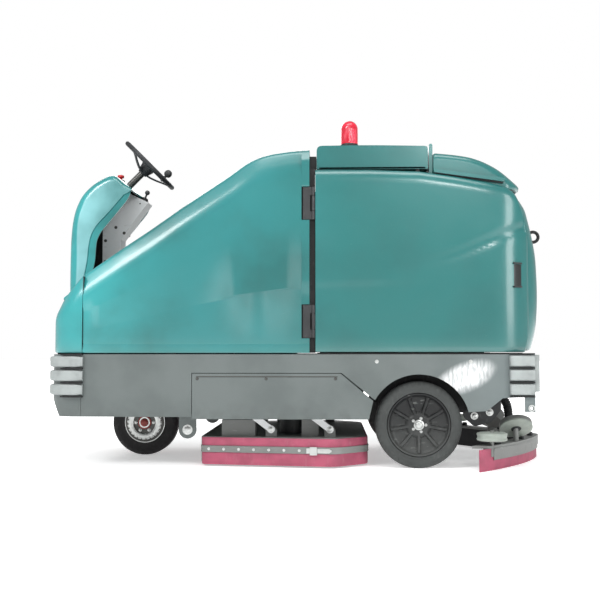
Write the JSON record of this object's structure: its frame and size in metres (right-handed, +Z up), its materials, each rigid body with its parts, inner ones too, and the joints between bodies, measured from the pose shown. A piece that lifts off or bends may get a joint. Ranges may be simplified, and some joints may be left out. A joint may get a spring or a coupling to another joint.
{
  "type": "ride-on floor scrubber machine",
  "caption": "Ride-on floor scrubber with sloping teal body, grey chassis, steered front wheel, lifting brush deck and trailing squeegee.",
  "frame": {"origin": "on the floor under the middle of the machine's length and width", "axes": "+X to the tail, -Y is the machine's left side, +Z up"},
  "size_m": [2.43, 1.3, 1.761],
  "materials": {
    "grey_paint": "satin powder coat",
    "light_grey_paint": "satin powder coat",
    "deck_grey": "satin powder coat",
    "pad_grey": "matte moulded",
    "black_rubber": "matte",
    "teal_shell": "gloss moulded",
    "dark_plastic": "fine grain",
    "tank_white": "natural moulded",
    "bright_steel": "bright",
    "dark_steel": "black oxide",
    "red_lens": "clear red",
    "red_plastic": "gloss",
    "soft_grip": "soft touch",
    "red_motor": "semi gloss",
    "black_tyre": "matte",
    "grey_tyre": "matte",
    "wheel_grey": "moulded",
    "seat_vinyl": "grained vinyl",
    "brush_fibre": "bristles",
    "red_rubber": "matte polyurethane",
    "roller_grey": "matte moulded"
  },
  "bodies": {
    "chassis": {"chassis": "grey_paint", "nose_plate": "grey_paint", "corner_pads": "pad_grey", "rear_bumper": "black_rubber", "nose_fairing": "teal_shell", "body_side_left": "teal_shell", "body_side_right": "teal_shell", "front_shroud": "teal_shell", "seat_box": "dark_plastic", "operator_floor": "black_rubber", "recovery_tank": "teal_shell", "solution_tank": "tank_white", "battery_pack": "dark_plastic", "vacuum_motor": "dark_plastic", "tail_handle": "black_rubber", "door_hinges": "bright_steel", "steering_column": "light_grey_paint", "steering_chain": "dark_steel"},
    "steering": {"steering_wheel": "soft_grip", "steering_shaft": "dark_steel"},
    "spinner": {"spinner_knob": "soft_grip"},
    "lower_steering": {"lower_shaft": "dark_steel"},
    "fork": {"front_fork": "dark_steel", "drive_motor": "red_motor"},
    "front_wheel": {"front_wheel": "bright_steel", "front_tyre": "black_tyre"},
    "rear_wheel_left": {"rear_wheel_left": "wheel_grey", "rear_tyre_left": "grey_tyre"},
    "rear_wheel_right": {"rear_wheel_right": "wheel_grey", "rear_tyre_right": "grey_tyre"},
    "drive_pedal": {"drive_pedal": "dark_plastic"},
    "brake_pedal": {"brake_pedal": "dark_plastic"},
    "seat": {"seat_pan": "dark_plastic", "seat_cushions": "seat_vinyl"},
    "hood": {"hood": "teal_shell", "beacon_base": "dark_plastic", "beacon_lens": "red_lens"},
    "rear_lid": {"rear_lid": "teal_shell"},
    "side_door_left": {"side_door_left": "teal_shell"},
    "side_door_right": {"side_door_right": "teal_shell"},
    "door_handle_left": {"door_handle_left": "dark_plastic"},
    "door_handle_right": {"door_handle_right": "dark_plastic"},
    "direction_lever": {"direction_lever": "dark_plastic"},
    "emergency_stop": {"emergency_stop": "red_plastic"},
    "service_panel_left": {"service_panel_left": "grey_paint"},
    "service_panel_right": {"service_panel_right": "grey_paint"},
    "links_front": {"lift_links_front": "light_grey_paint"},
    "links_rear": {"lift_links_rear": "light_grey_paint"},
    "deck": {"deck_housing": "deck_grey", "brush_motors": "dark_plastic", "deck_skirts": "red_rubber", "skirt_straps": "bright_steel"},
    "brush_left": {"brush_left": "brush_fibre"},
    "brush_right": {"brush_right": "brush_fibre"},
    "squeegee_arm": {"squeegee_arm": "dark_steel", "suction_hose": "black_rubber"},
    "squeegee": {"squeegee_frame": "light_grey_paint", "squeegee_blades": "red_rubber"},
    "guide_roller_left": {"guide_roller_left": "roller_grey"},
    "guide_roller_right": {"guide_roller_right": "roller_grey"}
  },
  "joints": [
    {"name": "steering_turn", "type": "hinge", "parent": "chassis", "child": "steering", "pos_m": [-0.846, 0, 1.529], "axis": [0.7071, 0, 0.7071], "range_deg": [-275, 275]},
    {"name": "spinner_turn", "type": "hinge", "parent": "steering", "child": "spinner", "pos_m": [-0.77458, 0, 1.45758], "axis": [0.7071, 0, 0.7071], "continuous": true},
    {"name": "lower_shaft_turn", "type": "hinge", "parent": "chassis", "child": "lower_steering", "pos_m": [-1.041, 0, 0.457], "axis": [0, 0, 1], "range_deg": [-275, 275]},
    {"name": "fork_turn", "type": "hinge", "parent": "chassis", "child": "fork", "pos_m": [-0.85, 0, 0.43], "axis": [0, 0, 1], "range_deg": [-75, 75]},
    {"name": "front_wheel_spin", "type": "hinge", "parent": "fork", "child": "front_wheel", "pos_m": [-0.85, 0, 0.169], "axis": [0, 1, 0], "continuous": true},
    {"name": "rear_wheel_left_spin", "type": "hinge", "parent": "chassis", "child": "rear_wheel_left", "pos_m": [0.524, 0, 0.2], "axis": [0, 1, 0], "continuous": true},
    {"name": "rear_wheel_right_spin", "type": "hinge", "parent": "chassis", "child": "rear_wheel_right", "pos_m": [0.524, 0, 0.2], "axis": [0, 1, 0], "continuous": true},
    {"name": "drive_pedal_press", "type": "hinge", "parent": "chassis", "child": "drive_pedal", "pos_m": [-1.09, 0.23, 0.556], "axis": [0, -1, 0], "range_deg": [0, 15], "stiffness_Nm_per_rad": 8, "springref_deg": -11.46},
    {"name": "brake_pedal_press", "type": "hinge", "parent": "chassis", "child": "brake_pedal", "pos_m": [-1.09, -0.23, 0.556], "axis": [0, -1, 0], "range_deg": [0, 15], "stiffness_Nm_per_rad": 8, "springref_deg": -11.46},
    {"name": "seat_slide", "type": "slide", "parent": "chassis", "child": "seat", "axis": [-1, 0, 0], "range_m": [-0.02, 0.1]},
    {"name": "hood_lift", "type": "hinge", "parent": "chassis", "child": "hood", "pos_m": [0.582, 0, 1.51], "axis": [0, 1, 0], "range_deg": [0, 65]},
    {"name": "rear_lid_lift", "type": "hinge", "parent": "chassis", "child": "rear_lid", "pos_m": [0.602, 0, 1.486], "axis": [0, -1, 0], "range_deg": [0, 65]},
    {"name": "side_door_left_swing", "type": "hinge", "parent": "chassis", "child": "side_door_left", "pos_m": [0.038, -0.55, 0.96], "axis": [0, 0, -1], "range_deg": [0, 100]},
    {"name": "side_door_right_swing", "type": "hinge", "parent": "chassis", "child": "side_door_right", "pos_m": [0.038, 0.55, 0.96], "axis": [0, 0, 1], "range_deg": [0, 100]},
    {"name": "door_handle_left_pull", "type": "hinge", "parent": "side_door_left", "child": "door_handle_left", "pos_m": [0.979, -0.523, 0.891], "axis": [0, 0, -1], "range_deg": [0, 30], "stiffness_Nm_per_rad": 0.3, "springref_deg": -5.73},
    {"name": "door_handle_right_pull", "type": "hinge", "parent": "side_door_right", "child": "door_handle_right", "pos_m": [0.979, 0.523, 0.891], "axis": [0, 0, 1], "range_deg": [0, 30], "stiffness_Nm_per_rad": 0.3, "springref_deg": -5.73},
    {"name": "direction_lever_tilt", "type": "hinge", "parent": "chassis", "child": "direction_lever", "pos_m": [-0.885, 0, 1.316], "axis": [0, 1, 0], "range_deg": [-8, 8]},
    {"name": "emergency_stop_press", "type": "slide", "parent": "chassis", "child": "emergency_stop", "axis": [0, 0, -1], "range_m": [0, 0.006], "stiffness_N_per_m": 1500, "springref_m": -0.003},
    {"name": "service_panel_left_lift", "type": "hinge", "parent": "chassis", "child": "service_panel_left", "pos_m": [0, -0.56, 0.438], "axis": [1, 0, 0], "range_deg": [-70, 0]},
    {"name": "service_panel_right_lift", "type": "hinge", "parent": "chassis", "child": "service_panel_right", "pos_m": [0, 0.56, 0.438], "axis": [1, 0, 0], "range_deg": [0, 70]},
    {"name": "deck_lift", "type": "hinge", "parent": "chassis", "child": "links_front", "pos_m": [-0.333, 0, 0.299], "axis": [0, -1, 0], "range_deg": [0, 23]},
    {"name": "deck_level", "type": "hinge", "parent": "links_front", "child": "deck", "pos_m": [-0.163, 0, 0.173], "axis": [0, -1, 0], "range_deg": [-23, 0]},
    {"name": "rear_links_turn", "type": "hinge", "parent": "chassis", "child": "links_rear", "pos_m": [-0.056, 0, 0.299], "axis": [0, -1, 0], "range_deg": [0, 23]},
    {"name": "brush_left_spin", "type": "hinge", "parent": "deck", "child": "brush_left", "pos_m": [-0.06, -0.24, 0.08], "axis": [0, 0, 1], "continuous": true},
    {"name": "brush_right_spin", "type": "hinge", "parent": "deck", "child": "brush_right", "pos_m": [-0.06, 0.24, 0.08], "axis": [0, 0, 1], "continuous": true},
    {"name": "squeegee_lift", "type": "hinge", "parent": "chassis", "child": "squeegee_arm", "pos_m": [0.8, 0, 0.31], "axis": [0, -1, 0], "range_deg": [0, 10]},
    {"name": "squeegee_swing", "type": "hinge", "parent": "squeegee_arm", "child": "squeegee", "pos_m": [0.955, 0, 0.13], "axis": [0, 0, 1], "range_deg": [-3, 3]},
    {"name": "guide_roller_left_spin", "type": "hinge", "parent": "squeegee", "child": "guide_roller_left", "pos_m": [0.85, -0.575, 0.14], "axis": [0, 0, 1], "continuous": true},
    {"name": "guide_roller_right_spin", "type": "hinge", "parent": "squeegee", "child": "guide_roller_right", "pos_m": [0.85, 0.575, 0.14], "axis": [0, 0, 1], "continuous": true}
  ],
  "couplings": [
    {"joint": "lower_shaft_turn", "follows": "steering_turn", "ratio": 1},
    {"joint": "fork_turn", "follows": "steering_turn", "ratio": 0.27273},
    {"joint": "deck_level", "follows": "deck_lift", "ratio": -1},
    {"joint": "rear_links_turn", "follows": "deck_lift", "ratio": 1}
  ]
}
